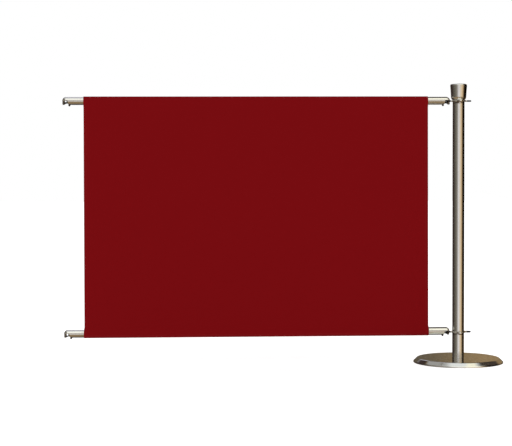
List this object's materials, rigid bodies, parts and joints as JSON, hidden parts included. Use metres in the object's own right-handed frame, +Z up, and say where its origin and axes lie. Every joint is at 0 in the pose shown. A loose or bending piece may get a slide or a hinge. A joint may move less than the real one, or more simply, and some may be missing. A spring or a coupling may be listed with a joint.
{
  "type": "cafe barrier stanchion with banner screen",
  "caption": "Steel barrier post on a round weighted base, with a fabric banner on crossbars that hook onto the post's ears.",
  "frame": {"origin": "on the floor at the post's axis, at the underside of the base mat", "axes": "+Z up; the screen reaches out along -X; the banner's face is towards -Y"},
  "size_m": [1.5714, 0.32, 1],
  "materials": {
    "post_steel": "satin",
    "base_steel": "satin",
    "cap_steel": "satin",
    "plate_steel": "satin",
    "bar_steel": "satin",
    "hook_steel": "satin",
    "black_nylon": "satin",
    "black_steel": "satin",
    "spring_steel": "satin",
    "pin_steel": "satin",
    "weight_paint": "matte",
    "mat_rubber": "matte",
    "hub_aluminium": "satin",
    "banner_cloth": "matte",
    "zinc_steel": "satin"
  },
  "bodies": {
    "post": {"base_bolt": "zinc_steel", "base_cover": "base_steel", "base_flat_washer": "zinc_steel", "base_lock_washer": "zinc_steel", "base_mat": "mat_rubber", "base_weight": "weight_paint", "cap_hub": "hub_aluminium", "cap_shell": "cap_steel", "cap_stud": "zinc_steel", "lower_hook_plate": "plate_steel", "post_foot_insert": "zinc_steel", "post_head_insert": "zinc_steel", "post_tube": "post_steel", "upper_hook_plate": "plate_steel"},
    "screen": {"banner": "banner_cloth", "lower_crossbar": "bar_steel", "lower_free_hook": "hook_steel", "lower_free_lock_pin": "pin_steel", "lower_free_spring": "spring_steel", "lower_free_spring_plug": "black_nylon", "lower_post_hook": "hook_steel", "lower_post_lock_pin": "pin_steel", "lower_post_spring": "spring_steel", "lower_post_spring_plug": "black_nylon", "upper_crossbar": "bar_steel", "upper_free_hook": "hook_steel", "upper_free_lock_pin": "pin_steel", "upper_free_spring": "spring_steel", "upper_free_spring_plug": "black_nylon", "upper_post_hook": "hook_steel", "upper_post_lock_pin": "pin_steel", "upper_post_spring": "spring_steel", "upper_post_spring_plug": "black_nylon"},
    "upper_post_latch_unit": {"upper_post_latch": "black_nylon", "upper_post_thumb_pin": "black_steel"},
    "upper_free_latch_unit": {"upper_free_latch": "black_nylon", "upper_free_thumb_pin": "black_steel"},
    "lower_post_latch_unit": {"lower_post_latch": "black_nylon", "lower_post_thumb_pin": "black_steel"},
    "lower_free_latch_unit": {"lower_free_latch": "black_nylon", "lower_free_thumb_pin": "black_steel"}
  },
  "joints": [
    {"name": "screen_swing", "type": "hinge", "parent": "post", "child": "screen", "pos_m": [-0.0365, 0, 0.5], "axis": [0, 0, 1], "range_deg": [-80, 80]},
    {"name": "upper_post_latch_slide", "type": "slide", "parent": "screen", "child": "upper_post_latch_unit", "axis": [-1, 0, 0], "range_m": [0, 0.0085], "stiffness_N_per_m": 450, "springref_m": -0.008, "deforming": ["upper_post_spring"]},
    {"name": "upper_free_latch_slide", "type": "slide", "parent": "screen", "child": "upper_free_latch_unit", "axis": [1, 0, 0], "range_m": [0, 0.0085], "stiffness_N_per_m": 450, "springref_m": -0.008, "deforming": ["upper_free_spring"]},
    {"name": "lower_post_latch_slide", "type": "slide", "parent": "screen", "child": "lower_post_latch_unit", "axis": [-1, 0, 0], "range_m": [0, 0.0085], "stiffness_N_per_m": 450, "springref_m": -0.008, "deforming": ["lower_post_spring"]},
    {"name": "lower_free_latch_slide", "type": "slide", "parent": "screen", "child": "lower_free_latch_unit", "axis": [1, 0, 0], "range_m": [0, 0.0085], "stiffness_N_per_m": 450, "springref_m": -0.008, "deforming": ["lower_free_spring"]}
  ]
}
